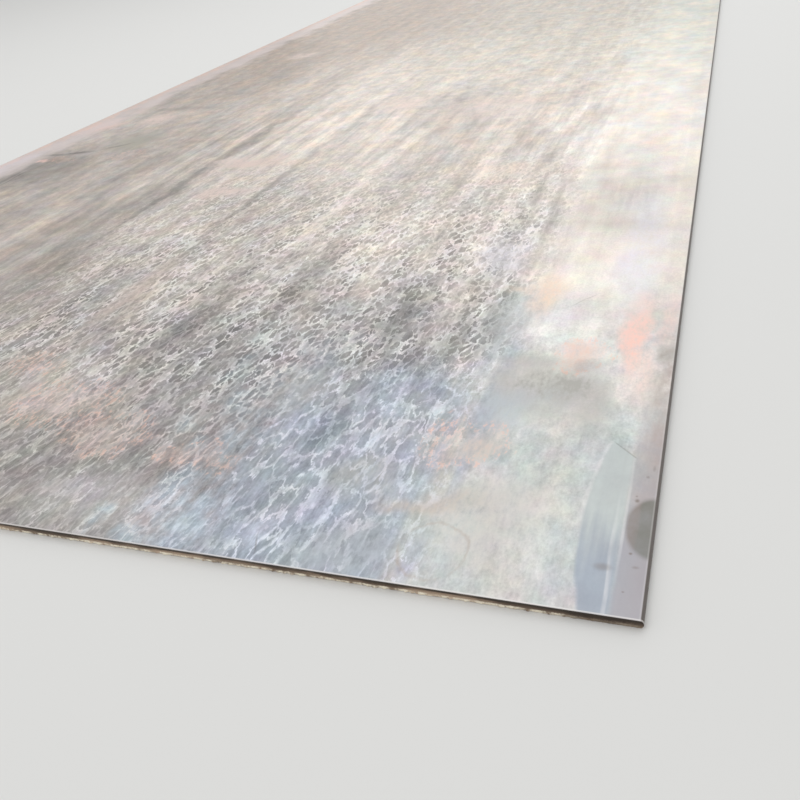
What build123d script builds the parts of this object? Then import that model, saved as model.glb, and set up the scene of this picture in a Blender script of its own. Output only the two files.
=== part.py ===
from build123d import *
import os

# Hot-rolled steel plate, cut to length from a wide coil. One piece of stock, lying flat.
# The origin is the middle of its underside, +Y is the rolling direction and +Z is up.
# All sizes are in millimetres.

# Stock size
LENGTH = 6000.0  # along Y, from shear cut to shear cut
WIDTH = 2000.0  # along X, over both mill edges
THICKNESS = 10.0  # along Z

# Mill edges: the two long sides stay as the rolls left them, bulged out and never trimmed
NOSE_DEPTH = 3.0  # how far the rounded nose stands out past the flat faces

# Sheared ends: the blade drags the near face over, smears a bright land, then the rest tears
ROLLOVER_DROP = 0.7  # how far the dragged corner sinks at the cut
ROLLOVER_RUN = 1.6  # how far back from the cut the sinking begins
LAND_HEIGHT = 2.5  # smooth band left by the blade, square to the faces
BREAK_SETBACK = 0.6  # how far the torn band has fallen back where it meets the far face

# Room past the part on the helper shapes, so that no two faces fall together
CUT_MARGIN = 10.0


def mill_section():
    """The plate's cross-section, seen along Y: flat faces joined by a half-oval nose each side."""
    flat_half = WIDTH / 2 - NOSE_DEPTH
    half_thick = THICKNESS / 2
    with BuildSketch(Plane.XZ.offset(LENGTH / 2 + CUT_MARGIN)) as section:
        with BuildLine():
            Line((-flat_half, 0), (flat_half, 0))
            EllipticalCenterArc((flat_half, half_thick), NOSE_DEPTH, half_thick, 270, arc_size=180)
            Line((flat_half, THICKNESS), (-flat_half, THICKNESS))
            EllipticalCenterArc((-flat_half, half_thick), NOSE_DEPTH, half_thick, 90, arc_size=180)
        make_face()
    return section.sketch


def rolled_strip():
    """The strip as it leaves the coil, a little longer than the plate."""
    return extrude(mill_section(), -(LENGTH + 2 * CUT_MARGIN))


def sheared_profile():
    """The plate's side view, seen along X. The strip is fed along Y past one blade that comes down
    at each cut. The end that stays on the bed, at -Y, has its rollover on top. The end that drops
    off, at +Y, is the same break turned over, with its rollover below."""
    cut = LENGTH / 2
    land_top = THICKNESS - ROLLOVER_DROP
    land_foot = land_top - LAND_HEIGHT
    with BuildSketch(Plane.YZ.offset(-WIDTH / 2 - CUT_MARGIN)) as profile:
        with BuildLine() as bed_end:
            Line((0, THICKNESS), (ROLLOVER_RUN - cut, THICKNESS))
            EllipticalCenterArc((ROLLOVER_RUN - cut, land_top), ROLLOVER_RUN, ROLLOVER_DROP, 90, arc_size=90)
            Line((-cut, land_top), (-cut, land_foot))
            Line((-cut, land_foot), (BREAK_SETBACK - cut, 0))
            Line((BREAK_SETBACK - cut, 0), (0, 0))
            # a half turn about the middle of the thickness gives the other end
            middle = Plane((0, THICKNESS / 2, 0))
            add(middle.location * Rot(0, 0, 180) * middle.location.inverse() * bed_end.line)
        make_face()
    return profile.sketch


def steel_plate():
    """Everything that lies both in the rolled strip and between its two shear cuts."""
    between_cuts = extrude(sheared_profile(), WIDTH + 2 * CUT_MARGIN)
    return (rolled_strip() & between_cuts).solid()


os.makedirs("parts", exist_ok=True)
export_step(steel_plate(), "parts/steel_plate.step")
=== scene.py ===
import bpy
from math import pi, radians
from mathutils import Matrix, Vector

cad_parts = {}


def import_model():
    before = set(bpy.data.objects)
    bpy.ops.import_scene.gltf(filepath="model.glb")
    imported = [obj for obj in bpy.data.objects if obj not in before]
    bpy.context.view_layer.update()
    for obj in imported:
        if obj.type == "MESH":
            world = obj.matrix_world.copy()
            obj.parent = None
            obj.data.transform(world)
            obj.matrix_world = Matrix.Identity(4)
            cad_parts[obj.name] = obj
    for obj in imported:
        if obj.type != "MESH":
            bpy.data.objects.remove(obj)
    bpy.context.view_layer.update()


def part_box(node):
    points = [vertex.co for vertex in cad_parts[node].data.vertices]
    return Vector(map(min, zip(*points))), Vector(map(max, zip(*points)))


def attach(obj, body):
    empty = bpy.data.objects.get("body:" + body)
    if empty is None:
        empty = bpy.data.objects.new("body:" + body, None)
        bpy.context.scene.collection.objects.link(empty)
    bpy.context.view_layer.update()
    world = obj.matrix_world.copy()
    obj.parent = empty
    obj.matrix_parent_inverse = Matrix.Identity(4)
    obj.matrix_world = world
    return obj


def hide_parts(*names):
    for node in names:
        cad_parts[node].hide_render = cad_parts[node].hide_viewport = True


# A hot-rolled steel plate that lies flat: rolled faces with mill scale, rounded mill edges along
# both sides, and a sheared and torn end at the front and back. Sizes are in metres.

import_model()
plate_low, plate_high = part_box("steel_plate")

# Sizes of the stock, as in the solid
NOSE_DEPTH = 0.003  # how far the rounded mill edge stands out
ROLLOVER_DROP = 0.0007  # how far the dragged corner sinks at the cut
ROLLOVER_RUN = 0.0016  # how far back from the cut the sinking begins
LAND_HEIGHT = 0.0025  # smooth band left by the blade
BREAK_SETBACK = 0.0006  # how far the torn band falls back
FLAT_HALF = plate_high.x - NOSE_DEPTH  # from the middle to where the mill edge begins

# How finely the skin is divided
NOSE_STEPS = 6  # columns round a quarter of the mill edge
FOOT_STEPS = 2  # rows along the underside, up to the foot of the break
TEAR_STEPS = 10  # rows up the torn band
LAND_STEPS = 2  # rows up the land
ROLLOVER_STEPS = 5  # rows round the dragged corner
END_MARGIN = 0.012  # length of the finely divided strip at each end
BLEND_MARGIN = 0.05  # where the coarse grid takes over
FOOT_LIP = 0.0004  # width of the narrow faces that keep the foot of the break crisp
PAST_TIP = 1.0001  # a touch over 1, so that the two faces meet at the tip of the mill edge
WELD_GAP = 0.00001  # points nearer than this become one
SHARP_ANGLE = 50  # in degrees: a tighter bend shows as a crisp edge


# Node trees

class Value:
    """One output in a node tree. Arithmetic on it adds the Math nodes that work it out."""

    def __init__(self, sheet, socket):
        self.sheet = sheet
        self.socket = socket

    def math(self, operation, *others):
        terms = dict(enumerate([self, *others]))
        return self.sheet.node("ShaderNodeMath", {"operation": operation}, terms)

    def __add__(self, other):
        return self.math("ADD", other)

    def __sub__(self, other):
        return self.math("SUBTRACT", other)

    def __rsub__(self, other):
        return self.math("MULTIPLY_ADD", -1.0, other)

    def __mul__(self, other):
        return self.math("MULTIPLY", other)

    def __truediv__(self, other):
        return self.math("DIVIDE", other)

    def __abs__(self):
        return self.math("ABSOLUTE")

    __radd__ = __add__

    def most(self, other):
        return self.math("MAXIMUM", other)

    def least(self, other):
        return self.math("MINIMUM", other)

    def clamp(self):
        """Held between 0 and 1."""
        return self.most(0.0).least(1.0)

    def above(self, limit):
        """1 where it is more than the limit, else 0."""
        return self.math("GREATER_THAN", limit)

    def ease(self, start, end):
        """0 up to start and 1 from end, with a soft slope between. End may be the lower one."""
        ends = {"Value": self, "From Min": start, "From Max": end}
        return self.sheet.node("ShaderNodeMapRange", {"interpolation_type": "SMOOTHSTEP"}, ends)


class Sheet:
    """A node tree that is being built."""

    def __init__(self, tree):
        self.tree = tree

    def node(self, kind, settings=None, inputs=None, output=0):
        """Adds a node: its settings first, then the values or links of its inputs."""
        made = self.tree.nodes.new(kind)
        for name, value in (settings or {}).items():
            setattr(made, name, value)
        for key, given in (inputs or {}).items():
            for value in given if isinstance(given, list) else [given]:
                if isinstance(value, Value):
                    self.tree.links.new(value.socket, made.inputs[key])
                else:
                    made.inputs[key].default_value = value
        return Value(self, made.outputs[output]) if made.outputs else None

    def vector(self, x, y, z=0.0):
        return self.node("ShaderNodeCombineXYZ", None, {"X": x, "Y": y, "Z": z})

    def parts(self, vector):
        """The three numbers of a vector."""
        x = self.node("ShaderNodeSeparateXYZ", None, {"Vector": vector})
        return [Value(self, socket) for socket in x.socket.node.outputs]

    def length(self, vector):
        settings = {"operation": "LENGTH"}
        return self.node("ShaderNodeVectorMath", settings, {"Vector": vector}, "Value")

    def noise(self, place, scale=1.0, detail=2.0, rough=0.5, flat=False):
        """Cloudy noise about one half. Flat noise leaves out the place's third number."""
        inputs = {"Vector": place, "Scale": scale, "Detail": detail, "Roughness": rough}
        return self.node("ShaderNodeTexNoise", {"noise_dimensions": "2D" if flat else "3D"}, inputs)

    def mix(self, mask, first, second):
        """The first colour where the mask is 0 and the second where it is 1."""
        # the node's inputs 0, 6 and 7 and its output 2 are the ones for colours
        return self.node("ShaderNodeMix", {"data_type": "RGBA"}, {0: mask, 6: first, 7: second}, 2)

    def shade(self, colour, factor):
        """The colour made lighter or darker."""
        inputs = {"Vector": colour[:3] if isinstance(colour, tuple) else colour, "Scale": factor}
        return self.node("ShaderNodeVectorMath", {"operation": "SCALE"}, inputs)

    def cast(self, colour, warmth, green):
        """The colour made warmer and greener, or cooler and pinker below 0."""
        filters = {0: colour, 1: self.vector(1 + warmth, 1 + green, 1 - warmth)}
        return self.node("ShaderNodeVectorMath", {"operation": "MULTIPLY"}, filters)


def linear(number):
    """A screen's number from 0 to 255 as an amount of light from 0 to 1."""
    share = number / 255
    return share / 12.92 if number <= 10 else ((share + 0.055) / 1.055) ** 2.4


def paint(red, green, blue):
    """A colour from the three numbers that a screen has for it."""
    return (linear(red), linear(green), linear(blue), 1.0)


# The plate's skin

class Skin:
    """The tree that makes the plate's closed skin from its sizes."""

    SIZES = {
        "Length": plate_high.y - plate_low.y,
        "Width": plate_high.x - plate_low.x,
        "Thickness": plate_high.z - plate_low.z,
        "Nose Depth": NOSE_DEPTH,
        "Rollover Drop": ROLLOVER_DROP,
        "Rollover Run": ROLLOVER_RUN,
        "Land Height": LAND_HEIGHT,
        "Break Setback": BREAK_SETBACK,
        "Tear Depth": 0.0007,  # how far the torn band is roughened in and out
        "Burr": 0.0011,  # how far the lumps at its foot stand out
        "Wave": 0.0008,  # how far the flat faces rise and fall
        "Column": 0.0015,  # width of the faces at the ends
        "Cell": 0.05,  # width of the faces between the ends
        "Seed": 7.0,
    }

    def __init__(self, rolled, sheared):
        self.tree = bpy.data.node_groups.new("plate_skin", "GeometryNodeTree")
        self.sheet = Sheet(self.tree)
        self.rolled, self.sheared = rolled, sheared
        self.tree.interface.new_socket("Geometry", in_out="OUTPUT", socket_type="NodeSocketGeometry")
        for name, size in self.SIZES.items():
            socket = self.tree.interface.new_socket(name, in_out="INPUT", socket_type="NodeSocketFloat")
            socket.default_value = size
        given = self.tree.nodes.new("NodeGroupInput")
        self.size = {name: Value(self.sheet, given.outputs[name]) for name in self.SIZES}
        self.flat_half = self.size["Width"] / 2 - self.size["Nose Depth"]
        self.middle = self.size["Thickness"] / 2
        self.cut = self.size["Length"] / 2
        self.build()

    def columns(self, spacing):
        """How many columns of about this width the plate's width takes, the noses included."""
        return (self.flat_half * 2 / spacing).math("ROUND") + 2 * NOSE_STEPS

    def column_x(self, number, columns):
        """Where a column stands: bunched round the noses, evenly spaced between them."""
        left = (number / NOSE_STEPS).clamp() * (pi / 2)
        right = ((columns - number) / NOSE_STEPS).clamp() * (pi / 2)
        even = ((number - NOSE_STEPS) / (columns - 2 * NOSE_STEPS)).clamp()
        nose = right.math("COSINE") - left.math("COSINE")
        return (even * 2 - 1) * self.flat_half + nose * self.size["Nose Depth"]

    def squeeze(self, x):
        """Share of the full thickness left at this x, which falls to nothing round the nose."""
        tip = ((abs(x) - self.flat_half) / self.size["Nose Depth"] * PAST_TIP).clamp()
        return (1 - tip * tip).math("SQRT")

    def place(self):
        """The x, y and z of each point."""
        return self.sheet.parts(self.sheet.node("GeometryNodeInputPosition"))

    def moved(self, geometry, x, y, z):
        """The geometry with each of its points put at this place."""
        inputs = {"Geometry": geometry, "Position": self.sheet.vector(x, y, z)}
        return self.sheet.node("GeometryNodeSetPosition", None, inputs)

    def grid(self, columns, rows):
        """A grid of that many cells, with the column and row number of each point."""
        inputs = {"Size X": 1.0, "Size Y": 1.0, "Vertices X": columns + 1, "Vertices Y": rows + 1}
        mesh = self.sheet.node("GeometryNodeMeshGrid", None, inputs)
        x, y, _ = self.place()
        return mesh, (x + 0.5) * columns, (y + 0.5) * rows

    def sheared_end(self):
        """The strip round the front end, from the underside over the tear, land and rollover."""
        size = self.size
        land_foot = FOOT_STEPS + TEAR_STEPS
        land_top = land_foot + LAND_STEPS
        top = land_top + ROLLOVER_STEPS
        columns = self.columns(size["Column"])
        mesh, number, row = self.grid(columns, top + 1)
        torn = ((row - FOOT_STEPS) / TEAR_STEPS).clamp()
        land = ((row - land_foot) / LAND_STEPS).clamp()
        bend = ((row - land_top) / ROLLOVER_STEPS).clamp() * (pi / 2)
        flat = (1 - row).clamp() + (row - top).clamp()
        edge = (
            (1 - torn) * size["Break Setback"]
            + (FOOT_STEPS - row).clamp() * FOOT_LIP
            + (1 - bend.math("COSINE")) * size["Rollover Run"]
        )
        height = (
            torn * (size["Thickness"] - size["Rollover Drop"] - size["Land Height"])
            + land * size["Land Height"]
            + bend.math("SINE") * size["Rollover Drop"]
        )
        x = self.column_x(number, columns)
        squeeze = self.squeeze(x)
        # at the very tip of the nose the whole edge draws together in one point
        y = edge * squeeze * (1 - flat) + flat * END_MARGIN - self.cut
        z = self.middle + (height - self.middle) * squeeze
        # how deep in the torn band each point lies: 1 at its foot, 0 from the land up
        tear = (1 - torn) * (row - 1).clamp()
        stored = {"Geometry": mesh, "Name": "tear", "Value": tear}
        settings = {"data_type": "FLOAT", "domain": "POINT"}
        mesh = self.sheet.node("GeometryNodeStoreNamedAttribute", settings, stored)
        mesh = self.moved(mesh, x, y, z)
        index = self.sheet.node("GeometryNodeInputIndex")
        face_row = index.math("MODULO", top + 1.0)
        cut_faces = face_row.above(FOOT_STEPS - 0.5) * (1 - face_row.above(land_top - 0.5))
        mesh = self.painted(mesh, self.rolled)
        return self.painted(mesh, self.sheared, cut_faces)

    def painted(self, geometry, material, faces=True):
        """The geometry with this material, on all its faces or on some."""
        inputs = {"Geometry": geometry, "Material": material, "Selection": faces}
        return self.sheet.node("GeometryNodeSetMaterial", None, inputs)

    def line(self, columns, y):
        """A row of points across the plate."""
        mesh = self.sheet.node("GeometryNodeMeshLine", None, {"Count": columns + 1})
        number = self.sheet.node("GeometryNodeInputIndex")
        return self.moved(mesh, self.column_x(number, columns), y, 0.0)

    def side_line(self, side, start, end):
        """A line along one mill edge, on the side 1 or -1."""
        line = self.sheet.node("GeometryNodeMeshLine", None, {"Count": 2})
        number = self.sheet.node("GeometryNodeInputIndex")
        return self.moved(line, self.size["Width"] / 2 * side, start + (end - start) * number, 0.0)

    def rolled_face(self):
        """The top face: a coarse grid, and a fan of triangles to the fine strip at each end."""
        size = self.size
        fine, coarse = self.columns(size["Column"]), self.columns(size["Cell"])
        start, end = END_MARGIN - self.cut, BLEND_MARGIN - self.cut
        outline = self.welded([
            self.line(fine, start),
            self.line(coarse, end),
            self.side_line(-1, start, end),
            self.side_line(1, start, end),
        ])
        outline = self.sheet.node("GeometryNodeMeshToCurve", None, {"Mesh": outline})
        fan = self.sheet.node("GeometryNodeFillCurve", None, {"Curve": outline})
        half_turn = {"Geometry": fan, "Rotation": (0.0, 0.0, pi)}
        turned = self.sheet.node("GeometryNodeTransform", None, half_turn)
        length = size["Length"] - 2 * BLEND_MARGIN
        rows = (length / size["Cell"]).math("ROUND")
        grid, number, row = self.grid(coarse, rows)
        grid = self.moved(grid, self.column_x(number, coarse), length * (row / rows - 0.5), 0.0)
        face = self.welded([fan, turned, grid])
        x, y, _ = self.place()
        face = self.moved(face, x, y, self.middle * (1 + self.squeeze(x)))
        return self.painted(face, self.rolled)

    def welded(self, pieces):
        """The pieces as one mesh, joined where their points meet."""
        joined = self.sheet.node("GeometryNodeJoinGeometry", None, {"Geometry": pieces})
        inputs = {"Geometry": joined, "Distance": WELD_GAP}
        return self.sheet.node("GeometryNodeMergeByDistance", None, inputs)

    def build(self):
        """The whole skin: one half, and the same turned over about the plate's middle."""
        sheet = self.sheet
        half = self.welded([self.sheared_end(), self.rolled_face()])
        turned = sheet.node("GeometryNodeTransform", None, {
            "Geometry": half,
            "Translation": sheet.vector(0.0, 0.0, self.size["Thickness"]),
            "Rotation": (pi, 0.0, 0.0),
        })
        whole = self.roughened(self.welded([half, turned]))
        whole = sheet.node("GeometryNodeSetShadeSmooth", None, {"Geometry": whole})
        whole = sheet.node("GeometryNodeRealizeInstances", None, {"Geometry": whole})
        out = self.tree.nodes.new("NodeGroupOutput")
        self.tree.links.new(whole.socket, out.inputs[0])

    def roughened(self, whole):
        """The skin with ragged torn bands and a slight wave in its flat faces."""
        size, sheet = self.size, self.sheet
        x, y, z = self.place()
        tear = sheet.node("GeometryNodeInputNamedAttribute", {"data_type": "FLOAT"}, {"Name": "tear"})
        along = sheet.vector(x + size["Seed"], y + size["Seed"], z)
        rough = sheet.noise(along, 420.0, 3.0) - 0.5
        lumps = sheet.noise(along, 150.0, 2.0).ease(0.48, 0.62)
        lumps = lumps * sheet.noise(along, 9.0, 1.0).ease(0.38, 0.5)
        # the burrs die out towards the mill edges
        corner = (self.flat_half - abs(x)).ease(0.01, 0.09)
        outward = y.math("SIGN") * (
            rough * size["Tear Depth"] * 2 * tear.ease(0.0, 0.15)
            + lumps * corner * size["Burr"] * tear.ease(0.6, 0.9)
        )
        wave = sheet.noise(sheet.vector(x * 1.3, y * 0.8, size["Seed"]), 1.0, 1.0) * size["Wave"]
        return self.moved(whole, x, y + outward, z + wave)


def plain_mesh(name, tree, sizes):
    """Runs a geometry tree with these sizes and keeps its result as a plain mesh object."""
    holder = bpy.data.objects.new(name, bpy.data.meshes.new(name))
    bpy.context.scene.collection.objects.link(holder)
    modifier = holder.modifiers.new("skin", "NODES")
    modifier.node_group = tree
    for socket in tree.interface.items_tree:
        if socket.in_out == "INPUT":
            modifier[socket.identifier] = sizes[socket.name]
    bpy.context.view_layer.update()
    made = holder.evaluated_get(bpy.context.evaluated_depsgraph_get())
    mesh = bpy.data.meshes.new_from_object(made)
    holder.modifiers.remove(modifier)
    holder.data = mesh
    mesh.name = name
    while mesh.materials and mesh.materials[0] is None:
        mesh.materials.pop(index=0)
    mesh.set_sharp_from_angle(angle=radians(SHARP_ANGLE))
    return holder


# Finishes

def new_material(name):
    """An empty material's sheet, and a function that gives it its shader."""
    material = bpy.data.materials.new(name)
    material.use_nodes = True
    material.node_tree.nodes.clear()
    sheet = Sheet(material.node_tree)

    def finish(inputs):
        shader = sheet.node("ShaderNodeBsdfPrincipled", None, inputs)
        sheet.node("ShaderNodeOutputMaterial", None, {"Surface": shader})
        return material

    return sheet, finish


class RolledSkin:
    """The finish of the rolled faces and mill edges: mill scale, dried froth, streaks and rust."""

    GREY = paint(166, 163, 162)
    WARM = paint(188, 179, 172)
    # DUN is the painted shade at the far left, and also the colour of a dried drop's line
    DUN = paint(172, 158, 146)
    BLUE = paint(182, 190, 203)
    PALE = paint(197, 200, 196)
    PALE_WARM = paint(209, 203, 195)
    # the dried film's colours, made lighter by a painted sheen
    FILM_AND_SHEEN = paint(218, 210, 202)
    FILM_WHITE_AND_SHEEN = paint(240, 235, 229)
    FROTH = paint(230, 228, 228)
    FROTH_BLUE = paint(219, 221, 230)
    RUST_PINK = paint(232, 202, 190)
    RUST_ORANGE = paint(234, 191, 172)
    STAIN = paint(104, 97, 91)
    BAND_GREEN = paint(186, 193, 192)
    BAND_BLUE = paint(156, 165, 178)
    MARGIN_LILAC = paint(164, 162, 169)
    MARGIN_BROWN = paint(178, 160, 151)
    # the left strip's colours: the plate's own warm tint with a painted warm reflection
    LEFT_PALE_AND_REFLECTION = paint(222, 209, 207)
    LEFT_PINK_AND_REFLECTION = paint(238, 206, 193)
    SMUDGE_BROWN = paint(126, 116, 108)
    SMUDGE_GREEN = paint(106, 108, 97)
    NOSE_BROWN = paint(108, 102, 98)
    # a painted highlight for the edges, worn bright as well on the dragged corners
    EDGE_WEAR_AND_HIGHLIGHT = paint(230, 226, 224)

    # each mark: x, y, reach across, reach along, strength, and for some a turn in degrees
    BLOOMS = [
        (0.03, -2.66, 0.06, 0.06, 0.5),
        (0.17, -2.74, 0.09, 0.08, 0.8),
        (0.28, -2.81, 0.08, 0.06, 0.8),
        (0.44, -2.84, 0.06, 0.03, 0.8),
        (0.775, -2.745, 0.058, 0.056, 0.95),
        (0.875, -2.54, 0.045, 0.06, 1.0),
        (-0.58, -1.49, 0.06, 0.04, 0.8),
        (-0.80, -1.52, 0.06, 0.035, 1.0),
    ]
    # soft patches of one colour, with their marks
    PATCHES = [
        (paint(247, 205, 191), [
            (0.944, -2.47, 0.022, 0.13, 0.85),
            (0.965, -2.55, 0.020, 0.08, 0.35),
            (0.985, -2.44, 0.020, 0.08, 0.35),
            (-0.93, -1.17, 0.07, 0.10, 0.7),
            (-0.868, -1.545, 0.016, 0.018, 0.9),
        ]),
        (paint(244, 214, 190), [
            (0.800, -2.35, 0.028, 0.075, 0.6),
            (0.770, -2.345, 0.045, 0.014, 0.4),
            (0.57, -1.73, 0.08, 0.07, 0.3),
        ]),
        (paint(233, 211, 202), [
            (-0.13, -1.60, 0.13, 0.05, 0.7),
            (-0.08, -1.85, 0.09, 0.05, 0.7),
            (0.13, -1.05, 0.09, 0.11, 0.5),
            (-0.74, -1.09, 0.08, 0.08, 0.7),
            (-0.65, -0.12, 0.07, 0.07, 0.5),
            (0.42, -1.15, 0.20, 0.16, 0.35),
            (0.04, -2.42, 0.020, 0.20, 0.35),
        ]),
        # lavender: the first of these marks is a painted sheen, a band of reflected light beside the right
        # mill edge
        (paint(224, 222, 236), [
            (0.925, -2.15, 0.040, 0.30, 0.4),
            (0.700, -2.20, 0.050, 0.13, 0.4),
            (-0.975, -1.62, 0.065, 0.22, 0.9),
        ]),
        (paint(184, 181, 170), [
            (0.68, -2.84, 0.06, 0.04, 0.4),
            (0.52, -2.66, 0.05, 0.06, 0.3),
        ]),
        (paint(172, 170, 164), [
            (0.868, -2.630, 0.058, 0.070, 0.85),
            (0.825, -2.615, 0.055, 0.060, 0.75),
            (0.90, -2.64, 0.035, 0.08, 0.6),
        ]),
        (paint(180, 188, 194), [
            (0.80, -2.67, 0.045, 0.05, 0.6),
            (0.76, -2.45, 0.035, 0.10, 0.4),
            (0.70, -2.96, 0.060, 0.05, 0.5),
        ]),
        (paint(205, 201, 194), [
            (0.790, -2.760, 0.030, 0.036, 0.8),
            (0.820, -2.890, 0.070, 0.070, 0.6),
        ]),
        (paint(160, 150, 140), [
            (0.995, -2.52, 0.014, 0.030, 0.6),
        ]),
        (paint(160, 160, 144), [
            (-0.65, -1.36, 0.09, 0.10, 0.6),
        ]),
        (paint(238, 210, 192), [
            (0.868, -2.535, 0.036, 0.045, 0.6),
        ]),
        (paint(198, 180, 164), [
            (0.755, -2.872, 0.065, 0.020, 0.4),
        ]),
    ]
    # light places in the scale itself
    CLEARINGS = [
        (0.14, -2.38, 0.20, 0.30, 0.6),
        (-0.04, -2.09, 0.12, 0.17, 0.75),
        (0.02, -2.33, 0.10, 0.14, 0.7),
        (0.00, -2.62, 0.10, 0.12, 0.6),
        (0.25, -2.60, 0.06, 0.10, 0.5),
        (0.13, -2.69, 0.13, 0.10, 1.1),
        (0.42, -2.50, 0.16, 0.20, 0.35),
        (0.38, -2.95, 0.16, 0.06, 1.0),
        (0.40, -2.20, 0.18, 0.22, 0.45),
        (-0.03, -1.48, 0.12, 0.40, 0.5),
        (-0.40, -1.00, 0.20, 0.25, 0.3),
        (-0.80, -1.10, 0.14, 0.30, 0.35),
        (-0.65, -1.00, 0.07, 0.15, 0.45),
        (-0.12, -1.65, 0.024, 0.80, 0.65),
        (-0.18, -1.60, 0.040, 0.60, 0.5),
        (0.00, -1.50, 0.022, 0.80, 0.6),
        (-0.26, -1.55, 0.012, 0.60, 0.5),
        (0.265, -2.05, 0.022, 0.60, 0.9),
        (0.315, -2.32, 0.022, 0.22, 0.8),
        (0.48, -2.25, 0.028, 0.35, 0.7),
        (0.65, -2.20, 0.020, 0.45, 0.7),
        (0.54, -1.60, 0.022, 0.40, 0.5),
    ]
    # dark places in the scale, most of them drawn out along the rolling direction
    STREAKS = [
        (0.035, -1.60, 0.016, 1.00, 1.0),
        (0.05, -2.25, 0.026, 0.35, 0.6),
        (-0.225, -1.60, 0.016, 0.90, 1.1),
        (-0.295, -1.50, 0.010, 0.60, 0.8),
        (-0.08, -2.15, 0.016, 0.20, 0.6),
        (0.235, -2.46, 0.022, 0.24, 1.1),
        (0.17, -1.85, 0.018, 0.16, 0.7),
        (0.23, -1.30, 0.016, 0.40, 0.4),
        (0.36, -2.30, 0.026, 0.28, 1.0),
        (0.38, -1.60, 0.020, 0.50, 0.45),
        (0.45, -1.60, 0.100, 0.30, 0.35),
        (0.40, -1.32, 0.090, 0.15, 0.8),
        (-0.37, -1.65, 0.060, 0.16, 0.7),
        (-0.37, -2.15, 0.080, 0.14, 0.8),
        (0.50, -1.80, 0.018, 0.22, 0.5),
        (0.575, -2.44, 0.028, 0.18, 1.2),
        (0.575, -1.60, 0.020, 0.60, 0.5),
        (0.640, -2.55, 0.020, 0.07, 1.0),
        (0.590, -2.72, 0.022, 0.10, 0.7),
        (0.685, -2.00, 0.020, 0.80, 0.8),
        (0.688, -2.47, 0.016, 0.16, 1.1),
        (0.735, -2.42, 0.020, 0.12, 1.0),
        (0.745, -1.98, 0.016, 0.25, 0.6),
        (0.30, -1.08, 0.130, 0.28, 1.0),
        (0.87, -1.88, 0.130, 0.26, 0.6),
        (-0.31, -1.93, 0.130, 0.28, 0.9),
        (0.70, -2.96, 0.050, 0.05, 0.5),
        (-0.24, -2.26, 0.100, 0.18, 1.0),
        (-0.51, -1.12, 0.016, 0.28, 0.5),
        (-0.80, -1.62, 0.180, 0.22, 1.5),
        (-0.82, -1.05, 0.030, 0.22, 0.5),
    ]
    # dull brown stains that lie over the scale
    STAINS = [
        (-0.76, -1.62, 0.12, 0.10, 0.25),
        (-0.862, -1.64, 0.03, 0.09, 0.4),
        (-0.72, -0.96, 0.14, 0.03, 0.35),
        (-0.86, -0.85, 0.05, 0.10, 0.25),
        (0.78, -1.72, 0.04, 0.06, 0.2),
        (0.87, -1.80, 0.16, 0.03, 0.12),
        (0.87, -2.05, 0.16, 0.03, 0.12),
        (0.888, -2.565, 0.022, 0.022, 0.3),
    ]
    # thin dark lines
    LINES = [
        (-0.858, -1.675, 0.011, 0.14, 1.0, 4),
        (-0.839, -1.69, 0.006, 0.09, 0.8, 6),
        (-0.868, -1.477, 0.055, 0.013, 0.9, 6),
        (-0.785, -1.457, 0.060, 0.013, 0.9, 16),
        (-0.690, -1.405, 0.055, 0.010, 0.6, 38),
        (0.859, -2.365, 0.030, 0.0016, 0.35, 57),
        (0.596, -2.972, 0.024, 0.0016, 0.4, -70),
        (0.805, -2.556, 0.085, 0.018, 0.2, -3),
    ]
    # the dull smudge over the mill edge
    SMUDGES = [
        (1.0, -2.874, 0.028, 0.046, 1.0),
    ]
    # small dark spots beside the near right corner
    SPOTS = [
        (0.979, -2.8336, 0.0028, 0.0035, 0.9),
        (0.9778, -2.826, 0.0016, 0.0016, 0.6),
        (0.980, -2.9154, 0.0020, 0.0020, 0.9),
        (0.9864, -2.9338, 0.0040, 0.0022, 0.5),
        (0.9783, -2.9685, 0.0016, 0.0012, 0.7),
        (0.9862, -2.791, 0.0022, 0.0030, 0.5),
        (0.9916, -2.775, 0.0020, 0.0060, 0.4),
        (0.9555, -2.939, 0.0100, 0.0060, 0.5),
    ]
    # the ring where a drop dried: middle and reach, across and along
    DROP_X, DROP_Y = 0.787, -2.948
    DROP_ACROSS, DROP_ALONG = 0.036, 0.042
    # the bluish tongue: the x of its rim, inner line and seam, and the y where the rim bulges most
    RIM_X, INNER_X, SEAM_X = 0.926, 0.962, 0.9695
    BULGE_Y = -2.87
    BULGE_BEND = 0.8  # how far the rim falls back at 1 m from there
    # the crease that ends the tongue: a point of it, and how steeply it slants
    CREASE_X, CREASE_Y = 0.946, -2.734
    CREASE_SLANT = 1.02
    # how far outlines stray across and along the plate
    WANDER_ACROSS, WANDER_ALONG = 0.06, 0.12
    # the two faces read their pattern this many plate thicknesses apart
    FACE_SHIFT = 61.0

    def __init__(self):
        self.sheet, self.finish = new_material("rolled_skin")
        place = self.sheet.node("ShaderNodeTexCoord", output="Object")
        self.x, self.y, self.z = self.sheet.parts(place)
        self.across = self.x + self.z * self.FACE_SHIFT
        self.top = self.z.above(plate_high.z / 2)
        # a slow wander, so that no streak or spot has a ruled outline
        self.wander_x = self.x + self.cloud(12.0, 9.0, 3.0) * self.WANDER_ACROSS
        self.wander_y = self.y + self.cloud(9.0, 5.0, 3.0, 4.0) * self.WANDER_ALONG
        self.wander = self.sheet.vector(self.wander_x, self.wander_y)
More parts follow.
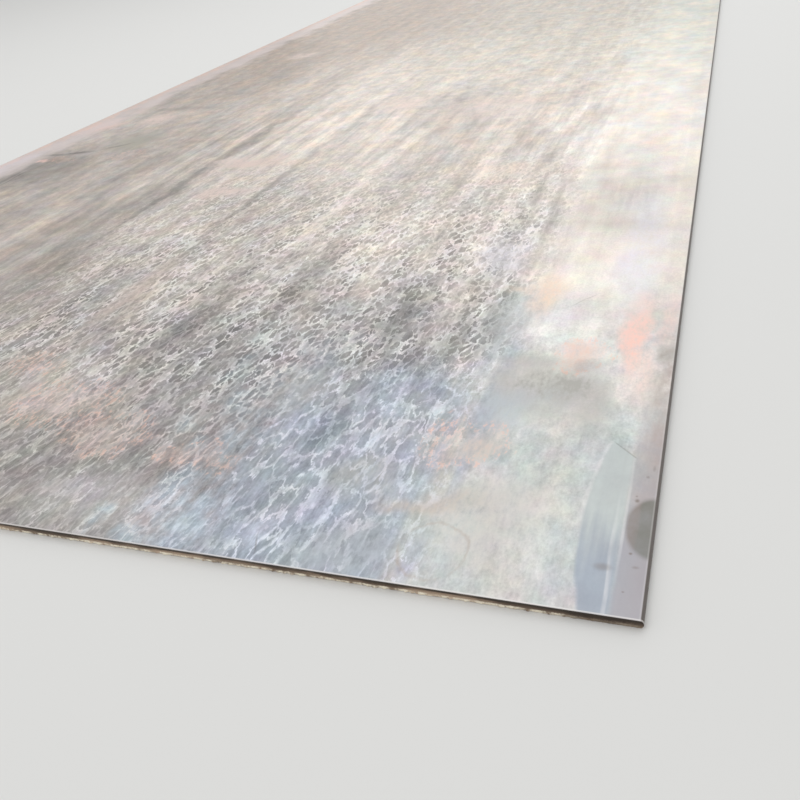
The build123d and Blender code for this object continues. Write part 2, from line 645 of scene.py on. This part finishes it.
        # grain of each size, from the finest to the broadest: cycles across and along, detail,
        # shift and roughness
        self.hair = self.cloud(420.0, 26.0, 2.0)
        self.grit = self.cloud(300.0, 220.0, 2.0, 13.0, 0.7)
        self.mottle = self.cloud(150.0, 70.0, 3.0, 3.0, 0.65)
        self.streak = self.cloud(85.0, 5.0, 3.0, 2.0)
        self.dab = self.cloud(52.0, 16.0, 3.0, 7.0, 0.65)
        self.strand = self.cloud(30.0, 2.6, 3.0, 11.0)
        self.blot = self.cloud(26.0, 20.0, 4.0, 23.0, 0.65)
        self.tint = self.cloud(20.0, 18.0, 3.0, 19.0, 0.6)
        self.warmth = self.cloud(12.0, 9.0, 3.0, 31.0, 0.65)
        self.patch = self.cloud(9.0, 6.0, 4.0, 1.0, 0.6)
        self.band = self.cloud(9.0, 0.8, 2.0, 5.0)

    def cloud(self, across, along, detail=2.0, shift=0.0, rough=0.55):
        """Noise about 0, its scale across and along the rolling direction in cycles a metre."""
        place = self.sheet.vector(self.across * across + shift, self.y * along + shift)
        return self.sheet.noise(place, 1.0, detail, rough, flat=True) - 0.5

    def mark(self, place, x, y, across, along, strength, turn=0):
        """A soft oval."""
        sheet = self.sheet
        if turn:
            oval = {
                "Vector": place,
                "Location": (x, y, 0.0),
                "Scale": (across, along, 1.0),
                "Rotation": (0.0, 0.0, radians(turn)),
            }
            place = sheet.node("ShaderNodeMapping", {"vector_type": "TEXTURE"}, oval)
        else:
            oval = {"Vector": place, 1: (1 / across, 1 / along, 0.0), 2: (-x / across, -y / along, 0.0)}
            place = sheet.node("ShaderNodeVectorMath", {"operation": "MULTIPLY_ADD"}, oval)
        ends = {"Value": sheet.length(place), "From Min": 1.3, "From Max": 0.2, "To Max": strength}
        return sheet.node("ShaderNodeMapRange", {"interpolation_type": "SMOOTHSTEP"}, ends)

    def marks(self, listed, wander=1.0):
        """All the ovals of a list on the top face, their outlines wandering more or less."""
        place = self.wander
        if wander != 1.0:
            x = self.x + (self.wander_x - self.x) * wander
            y = self.y + (self.wander_y - self.y) * wander
            place = self.sheet.vector(x, y)
        total = self.mark(place, *listed[0])
        for one in listed[1:]:
            total = total.most(self.mark(place, *one))
        return total * self.top

    def bubbles(self, across, along, shift, least):
        """Dried bubbles: the dull hollow of each, and the pale froth left between them. Least is
        how wide the smallest are, as a share of their spacing."""
        sheet = self.sheet
        wobble = self.cloud(across * 0.9, along * 0.9, 3.0, shift, 0.6)
        cell_x = self.across * across + wobble * 1.6 + shift
        cell_y = self.y * along + wobble * 1.3 + self.dab
        inputs = {"Vector": sheet.vector(cell_x, cell_y), "Scale": 1.0}
        middles = {"voronoi_dimensions": "2D", "feature": "F1"}
        near = sheet.node("ShaderNodeTexVoronoi", middles, inputs, "Distance")
        # each bubble has a size and a depth of its own
        size, depth, _ = sheet.parts(Value(sheet, near.socket.node.outputs["Color"]))
        edges = {"voronoi_dimensions": "2D", "feature": "DISTANCE_TO_EDGE"}
        wall = sheet.node("ShaderNodeTexVoronoi", edges, inputs, "Distance")
        rim = near + (self.grit + self.mottle) * 0.35 - (least + size * 0.40)
        # some run together, with no froth left between them
        open_run = (self.blot + self.dab * 0.6).ease(0.03, 0.12)
        hollow = rim.ease(0.11, -0.08) * wall.ease(0.02, 0.16).most(open_run)
        froth = (1 - hollow) * (0.3 + rim.ease(0.34, 0.04) * 0.7)
        return hollow * (0.4 + depth * 0.6), froth

    def ground(self, near_end):
        """The scale's colours, from grey at the left to pale at the right mill edge, with painted shade at
        the far left and a dried film lightened by a painted sheen.
        """
        sheet, x = self.sheet, self.wander_x + self.strand * 0.2
        warm = (0.0 - x + self.band * 0.8).ease(-0.3, 0.5).most(1 - near_end)
        colour = sheet.mix(warm, self.GREY, self.WARM)
        along = self.wander_y + self.patch * 0.5
        reached = along + x.ease(0.6, 0.8) * 0.25
        # a dried film: partly its own pale colour, partly a painted sheen that rises from the near end
        film_and_sheen = reached.ease(-2.65, -2.0) * along.ease(0.6, -1.0)
        film_and_sheen = film_and_sheen * (x + self.band * 0.5).ease(-0.65, 0.05) * self.top
        # painted shade: the far left of the top face made darker and browner
        far_left_shade = (0.3 - x).ease(0.0, 0.8) * along.ease(-1.4, 0.2) * self.top
        colour = sheet.mix(far_left_shade, colour, self.DUN)
        colour = sheet.mix(film_and_sheen * 0.75, colour, self.FILM_AND_SHEEN)
        pale = sheet.mix((self.patch + self.blot * 0.4).ease(-0.2, 0.25), self.PALE, self.PALE_WARM)
        pale = sheet.mix(film_and_sheen * (1 - self.y.ease(-1.5, -0.5) * 0.4), pale, self.FILM_WHITE_AND_SHEEN)
        colour = sheet.mix(x.ease(0.62, 0.84) * 0.9, colour, pale)
        blue = (x + self.tint * 0.3).ease(0.38, 0.52) * x.ease(0.82, 0.70) * along.ease(-2.45, -2.75)
        return sheet.mix(blue * 0.9, colour, self.BLUE)

    def rusted(self, colour, bloom, froth):
        """Rust blooms: they stain the froth, and leave orange flecks round their rims."""
        sheet = self.sheet
        # the soft patches, one of them a painted sheen
        for shade, listed in self.PATCHES:
            soft = self.marks(listed) * (1 + self.blot * 1.3 + self.mottle * 1.5 + self.dab * 0.6)
            colour = sheet.mix(soft.clamp(), colour, shade)
        ragged = (bloom + (self.dab + self.mottle) * 0.7 * bloom.ease(0.0, 0.3)).clamp()
        rim = ragged.ease(0.1, 0.4) * (1 - ragged.ease(0.45, 0.8) * 0.8)
        flecks = (self.mottle * 2 + self.grit * 0.7 + self.dab * 0.4).ease(0.02, 0.28) * rim
        pink = (ragged * 0.24).most(froth * ragged.ease(0.1, 0.6) * 0.85)
        colour = sheet.mix(pink, colour, self.RUST_PINK)
        colour = sheet.mix(flecks * 0.5, colour, self.RUST_ORANGE)
        # the brown line that a drop dried to
        drop_x = (self.x - self.DROP_X) / self.DROP_ACROSS
        drop_y = (self.y - self.DROP_Y) / self.DROP_ALONG
        drop = sheet.length(sheet.vector(drop_x, drop_y))
        line = abs(drop - 1 + self.dab * 0.3).ease(0.09, 0.0) * (0.3 + self.blot * 2) * self.top
        return sheet.mix(line.clamp(), colour, self.DUN)

    def banded(self, colour):
        """The bluish tongue beside the near mill edge, with its pale rims and the crease over it."""
        sheet, x, y = self.sheet, self.x, self.y
        bow = y - self.BULGE_Y
        from_rim = x - self.RIM_X - bow * bow * self.BULGE_BEND
        from_crease = 0.0 - (y - self.CREASE_Y) - (x - self.CREASE_X) * self.CREASE_SLANT
        inside = from_crease.ease(-0.001, 0.002) * self.top
        tongue = inside * (from_rim + self.dab * 0.006).ease(-0.002, 0.004) * x.ease(0.974, 0.964)
        shade = sheet.mix((y + self.streak * 0.1).ease(-2.84, -2.95), self.BAND_GREEN, self.BAND_BLUE)
        shade = sheet.shade(shade, 1 + self.streak * 0.15 + self.tint * 0.3)
        colour = sheet.mix(tongue * 0.85, colour, shade)
        rim = abs(from_rim + self.strand * 0.010).ease(0.0040, 0.0004) * inside * y.ease(-2.93, -2.84)
        seam = abs(x - self.SEAM_X + self.strand * 0.006).ease(0.0022, 0.0005)
        seam = seam * inside * y.ease(-2.97, -2.90)
        inner = abs(x - self.INNER_X + self.strand * 0.03 + self.streak * 0.01).ease(0.0036, 0.0004)
        inner = inner * inside * y.ease(-2.80, -2.90)
        pale = (rim * 0.45).most(seam * 0.5).most(inner * 0.45) * (0.7 + self.band + self.dab * 1.5)
        colour = sheet.mix(pale.clamp(), colour, self.FROTH)
        crease = abs(from_crease).ease(0.0022, 0.0004) * x.ease(0.943, 0.947)
        crease = crease * x.ease(0.973, 0.968) * self.top
        return sheet.mix(crease * 0.35, colour, self.SMUDGE_GREEN)

    def edged(self, colour):
        """The strips beside the mill edges, with their smudges and spots, and the edges themselves."""
        sheet, x, y = self.sheet, self.x, self.y
        side = abs(x)
        front = (y + self.blot * 0.2).ease(-2.6, -2.95)
        margin = (side + self.strand * 0.004).ease(0.966, 0.972)
        browned = (x + self.blot * 0.04).ease(0.955, 0.998) * (y + self.blot * 0.4).ease(-2.47, -2.62)
        browned = browned * (0.6 + self.dab + self.strand)
        colour = sheet.mix((browned * self.top).clamp(), colour, self.MARGIN_BROWN)
        colour = sheet.mix(margin * (0.1 + front * 0.75), colour, self.MARGIN_LILAC)
        # the strip beside the left mill edge: partly the plate's own warm pale tint, partly a painted warm
        # reflection
        strip = (0.0 - x + self.strand * 0.05 + self.patch * 0.12).ease(0.845, 0.935) * self.top
        pink = (0.0 - x + self.blot * 0.1).ease(0.945, 0.995)
        shade = sheet.mix(pink, self.LEFT_PALE_AND_REFLECTION, self.LEFT_PINK_AND_REFLECTION)
        colour = sheet.mix(strip * (0.7 + self.patch * 0.4), colour, shade)
        colour = self.smudged(self.banded(colour))
        # the mill edges, a painted highlight as a pale line beside each, and the dragged corner of each end
        # lightened, partly worn bright and partly a painted highlight
        nose = side.ease(FLAT_HALF - 0.0005, FLAT_HALF + 0.0003)
        brown = sheet.shade(self.NOSE_BROWN, 1 + self.mottle * 0.8 + self.streak * 0.4)
        colour = sheet.mix(nose, colour, brown)
        # painted highlight: a pale line beside each mill edge
        lip_highlight = abs(side - (FLAT_HALF - 0.0008)).ease(0.0012, 0.0003)
        colour = sheet.mix(lip_highlight * 0.15, colour, self.EDGE_WEAR_AND_HIGHLIGHT)
        # painted highlight on the dragged corner of each end, where it is also worn bright
        dragged_wear_and_highlight = abs(y).ease(plate_high.y - 0.0018, plate_high.y - 0.0012)
        return sheet.mix(dragged_wear_and_highlight * 0.6, colour, self.EDGE_WEAR_AND_HIGHLIGHT), nose

    def smudged(self, colour):
        """The dull smudge over the near mill edge and the dark spots beside it."""
        sheet, x = self.sheet, self.x
        smudge = self.marks(self.SMUDGES, 0.12).ease(0.06, 0.30)
        dull = sheet.mix((x + self.streak * 0.02).ease(0.978, 0.992), self.SMUDGE_BROWN, self.SMUDGE_GREEN)
        colour = sheet.mix(smudge * (0.68 + self.blot * 0.6), colour, dull)
        return sheet.mix(self.marks(self.SPOTS, 0.04) * 0.85, colour, self.SMUDGE_BROWN)

    def lathered(self):
        """Finds the hollows and froth of the dried bubbles and where they lie thick."""
        x, y = self.wander_x, self.wander_y
        fine_hollow, fine_froth = self.bubbles(across=84.0, along=38.0, shift=0.0, least=0.26)
        coarse_hollow, coarse_froth = self.bubbles(across=58.0, along=25.0, shift=8.0, least=0.40)
        # the bubbles are larger near the front end, on the right
        self.coarse = (x + self.streak * 0.15).ease(0.46, 0.54) * y.ease(-2.55, -2.68)
        self.hollow = fine_hollow + (coarse_hollow - fine_hollow) * self.coarse
        self.froth = fine_froth + (coarse_froth - fine_froth) * self.coarse
        crowd = (self.strand + self.streak * 0.5 + self.dab * 0.7 + self.patch * 0.4).ease(-0.2, 0.2)
        lather = x.ease(-0.4, 0.0) * x.ease(0.82, 0.70) * y.ease(-1.3, -2.2) * self.top
        thinned = y.ease(-2.60, -2.75) * (1 - self.coarse)
        self.streaks = self.marks(self.STREAKS) * (0.8 + self.dab + self.streak)
        lather = lather * (0.25 + crowd * 0.75) * (1 - thinned * 0.5)
        self.lather = lather * (1 - self.streaks * 0.75).clamp()

    def toned(self):
        """How light or dark the scale is in each place, about 1, before its finest grain."""
        x, y = self.wander_x, self.wander_y
        self.calm = 1 - x.ease(0.66, 0.84) * 0.8
        self.far = y.ease(-2.1, -1.4).most(x.ease(-0.1, -0.4))
        # the streaks fade out towards the left edge and the far end
        self.quiet = self.far * (1 - x.ease(-0.6, -0.3) * y.ease(-0.8, -1.3))
        runs = self.streak * (0.5 + self.far * 0.3) + self.strand * (0.7 + self.far * 0.5)
        flow = self.dab * (0.9 - self.far * 0.35) + runs * (1 - self.quiet * 0.55)
        tone = 1 + flow * (1 - self.far * 0.35) * self.calm
        broad = self.band * 0.25 + self.blot * (0.3 + self.far * 0.25 + self.quiet * 0.2)
        tone = tone + self.patch * (0.35 + self.far * 0.2) + broad * (0.4 + self.calm * 0.6)
        tone = tone - self.streaks * (0.55 - self.far * 0.25) + self.marks(self.CLEARINGS) * 0.4
        return tone - self.hollow * self.lather * (0.80 - self.coarse * 0.32)

    def grained(self, colour):
        """The colour with its fine grain, the grain's slight shifts of hue, and a painted green reflection
        towards the far end.
        """
        sheet, x, y = self.sheet, self.wander_x, self.wander_y
        grain = self.hair * 0.3 * (1 - self.quiet * 0.5) + self.mottle * 0.6
        spotted = (self.mottle * 0.8 + self.blot * 0.9 + self.dab * 0.3) * x.ease(0.7, 0.8)
        spotted = spotted * y.ease(-2.3, -2.55) * 0.4
        grain = grain * (1 - self.far * 0.35) * self.calm + self.grit * 0.3
        grain = grain + self.dab * 0.3 * self.lather + spotted
        colour = sheet.shade(colour, 1 + grain - x.ease(0.88, 0.94) * y.ease(-2.7, -2.5) * 0.04)
        right_end = y.ease(-2.2, -2.6) * (x.ease(0.2, 0.45) * 0.03 + x.ease(0.7, 0.8) * 0.03)
        # painted reflection: a green cast towards the far end
        far_green_reflection = y.ease(-1.2, -0.2) * x.ease(-0.4, 0.3) * 0.035
        warmth = self.warmth * (0.2 + self.far * 0.12) + 0.03 - right_end
        return sheet.cast(colour, warmth, self.tint * 0.24 + far_green_reflection)

    def build(self):
        """The material, from the ground colour up to the marks that lie over it."""
        sheet = self.sheet
        near_end = self.wander_y.ease(-1.3, -2.5)
        self.lathered()
        tone = self.toned()
        colour = sheet.shade(self.ground(near_end), tone)
        froth = (self.froth * self.lather * (1 + self.mottle * 1.5 + self.blot)).clamp()
        cover = froth * (0.95 - self.coarse * 0.1)
        colour = sheet.mix(cover, colour, sheet.mix(self.coarse, self.FROTH, self.FROTH_BLUE))
        colour = self.grained(colour)
        bloom = self.marks(self.BLOOMS)
        colour = self.rusted(colour, bloom, froth)
        stain = self.marks(self.STAINS + self.LINES, 0.3) * (0.85 + self.dab + self.mottle)
        colour = sheet.mix(stain.clamp(), colour, self.STAIN)
        colour, nose = self.edged(colour)
        roughness = 0.36 + self.patch * 0.12 + self.streak * 0.1 + froth * 0.12 + bloom * 0.2 + nose * 0.15
        height = {"Strength": 0.1, "Distance": 0.001, "Height": self.mottle + self.dab}
        bump = sheet.node("ShaderNodeBump", None, height)
        return self.finish({"Base Color": colour, "Roughness": roughness, "Metallic": 0.45, "Normal": bump})


# The cut ends' colours, those of the torn band dark at its top and light at its foot
LAND_DARK = paint(66, 57, 49)
TORN_BROWN = paint(92, 78, 66), paint(150, 130, 112)
TORN_TAN = paint(158, 136, 118), paint(212, 190, 168)
TORN_SPECK = paint(104, 86, 70)
BURR_BRIGHT = paint(255, 247, 228)
CLEAN_BREAK = paint(62, 52, 45), paint(140, 122, 106)


def sheared_steel():
    """The cut ends: a dark burnished land over a torn band, with bright burrs at its foot."""
    sheet, finish = new_material("sheared_steel")
    place = sheet.node("ShaderNodeTexCoord", output="Object")
    tear = sheet.node("ShaderNodeAttribute", {"attribute_name": "tear"}, None, "Fac")
    x, y, z = sheet.parts(place)
    grain = sheet.noise(place, 700.0, 3.0, 0.6) - 0.5
    patch = sheet.noise(sheet.vector(x * 45, y, z * 200), 1.0, 3.0) - 0.5
    torn = (tear + patch * 0.12).ease(-0.02, 0.08)
    # it tore brown in some stretches and tan in others
    stretch = (sheet.noise(sheet.vector(x * 7, 0.0, z * 7), 1.0, 2.0) + patch * 0.3).ease(0.42, 0.56)
    brown = sheet.mix(tear.ease(0.1, 0.8), *TORN_BROWN)
    tan = sheet.mix(tear.ease(0.0, 0.8), *TORN_TAN)
    colour = sheet.mix(torn, LAND_DARK, sheet.mix(stretch, brown, tan))
    colour = sheet.mix((patch + grain).ease(0.05, 0.35) * torn * 0.6, colour, TORN_SPECK)
    lumps = sheet.noise(sheet.vector(x * 90, y, z * 60), 1.0, 3.0, 0.65).ease(0.36, 0.58)
    burr = (tear + grain * 0.3 + patch * 0.3).ease(0.48, 0.66) * lumps
    colour = sheet.mix(burr * 0.95, colour, BURR_BRIGHT)
    # the last stretch before the mill edge broke clean and dark
    corner = (abs(x) + patch * 0.03).ease(0.925, 0.94)
    clean = sheet.mix((tear + patch * 1.2 + grain).ease(0.2, 0.9), *CLEAN_BREAK)
    colour = sheet.mix(corner * 0.85, colour, clean)
    bump = sheet.node("ShaderNodeBump", None, {"Strength": 0.5, "Distance": 0.0004, "Height": grain * torn})
    return finish({"Base Color": colour, "Roughness": 0.45 + torn * 0.15, "Metallic": 0.5, "Normal": bump})


skin = Skin(RolledSkin().build(), sheared_steel())
plate = plain_mesh("plate", skin.tree, Skin.SIZES)
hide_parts("steel_plate")
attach(plate, "root")


# Floor, light and camera

FLOOR_REACH = 30.0
FLOOR_PALE = paint(226, 226, 224)
SKY_WHITE = paint(255, 255, 255)
SKY_STRENGTH = 0.7
# each lamp: name, place, turn about X in degrees, width, depth, power in watts
LAMPS = [
    ("overhead", (0.0, 0.0, 5.0), 0, 6.0, 9.0, 120.0),
    ("far", (0.2, 8.0, 3.0), -72, 10.0, 5.0, 75.0),
]
LENS, SENSOR = 37.8, 36.0  # focal length and sensor width in millimetres
CAMERA_PLACE = (1.03180, -3.54640, 0.58975)
HEADING, PITCH, ROLL = 23.112, -31.522, -8.305  # in degrees


def new_object(name, data):
    made = bpy.data.objects.new(name, data)
    bpy.context.scene.collection.objects.link(made)
    return made


def floor():
    """A plain level floor under everything."""
    reach = FLOOR_REACH
    mesh = bpy.data.meshes.new("floor")
    corners = [(-reach, -reach, 0), (reach, -reach, 0), (reach, reach, 0), (-reach, reach, 0)]
    mesh.from_pydata(corners, [], [(0, 1, 2, 3)])
    _, finish = new_material("floor")
    mesh.materials.append(finish({"Base Color": FLOOR_PALE, "Roughness": 0.8}))
    made = new_object("floor", mesh)


def lamp(name, place, turn, width, depth, power):
    """A large flat lamp that the camera doesn't see."""
    data = bpy.data.lights.new(name, "AREA")
    data.shape = "RECTANGLE"
    data.size, data.size_y, data.energy = width, depth, power
    made = new_object(name, data)
    made.visible_camera = False
    made.location = place
    made.rotation_euler = (radians(turn), 0, 0)


def world():
    """An even light from all sides."""
    made = bpy.data.worlds.new("studio")
    made.use_nodes = True
    made.node_tree.nodes.clear()
    sheet = Sheet(made.node_tree)
    sky = {"Color": SKY_WHITE, "Strength": SKY_STRENGTH}
    light = sheet.node("ShaderNodeBackground", None, sky)
    sheet.node("ShaderNodeOutputWorld", None, {"Surface": light})
    bpy.context.scene.world = made


def camera():
    """The camera beside the near right corner, which looks along the plate."""
    data = bpy.data.cameras.new("camera")
    data.lens, data.sensor_width = LENS, SENSOR
    made = new_object("camera", data)
    heading = Matrix.Rotation(radians(HEADING), 4, "Z")
    pitch = Matrix.Rotation(pi / 2 + radians(PITCH), 4, "X")
    roll = Matrix.Rotation(radians(ROLL), 4, "Z")
    made.matrix_world = Matrix.Translation(CAMERA_PLACE) @ (heading @ pitch @ roll)
    bpy.context.scene.camera = made


floor()
for each in LAMPS:
    lamp(*each)
world()
camera()
bpy.context.scene.view_settings.view_transform = "Standard"
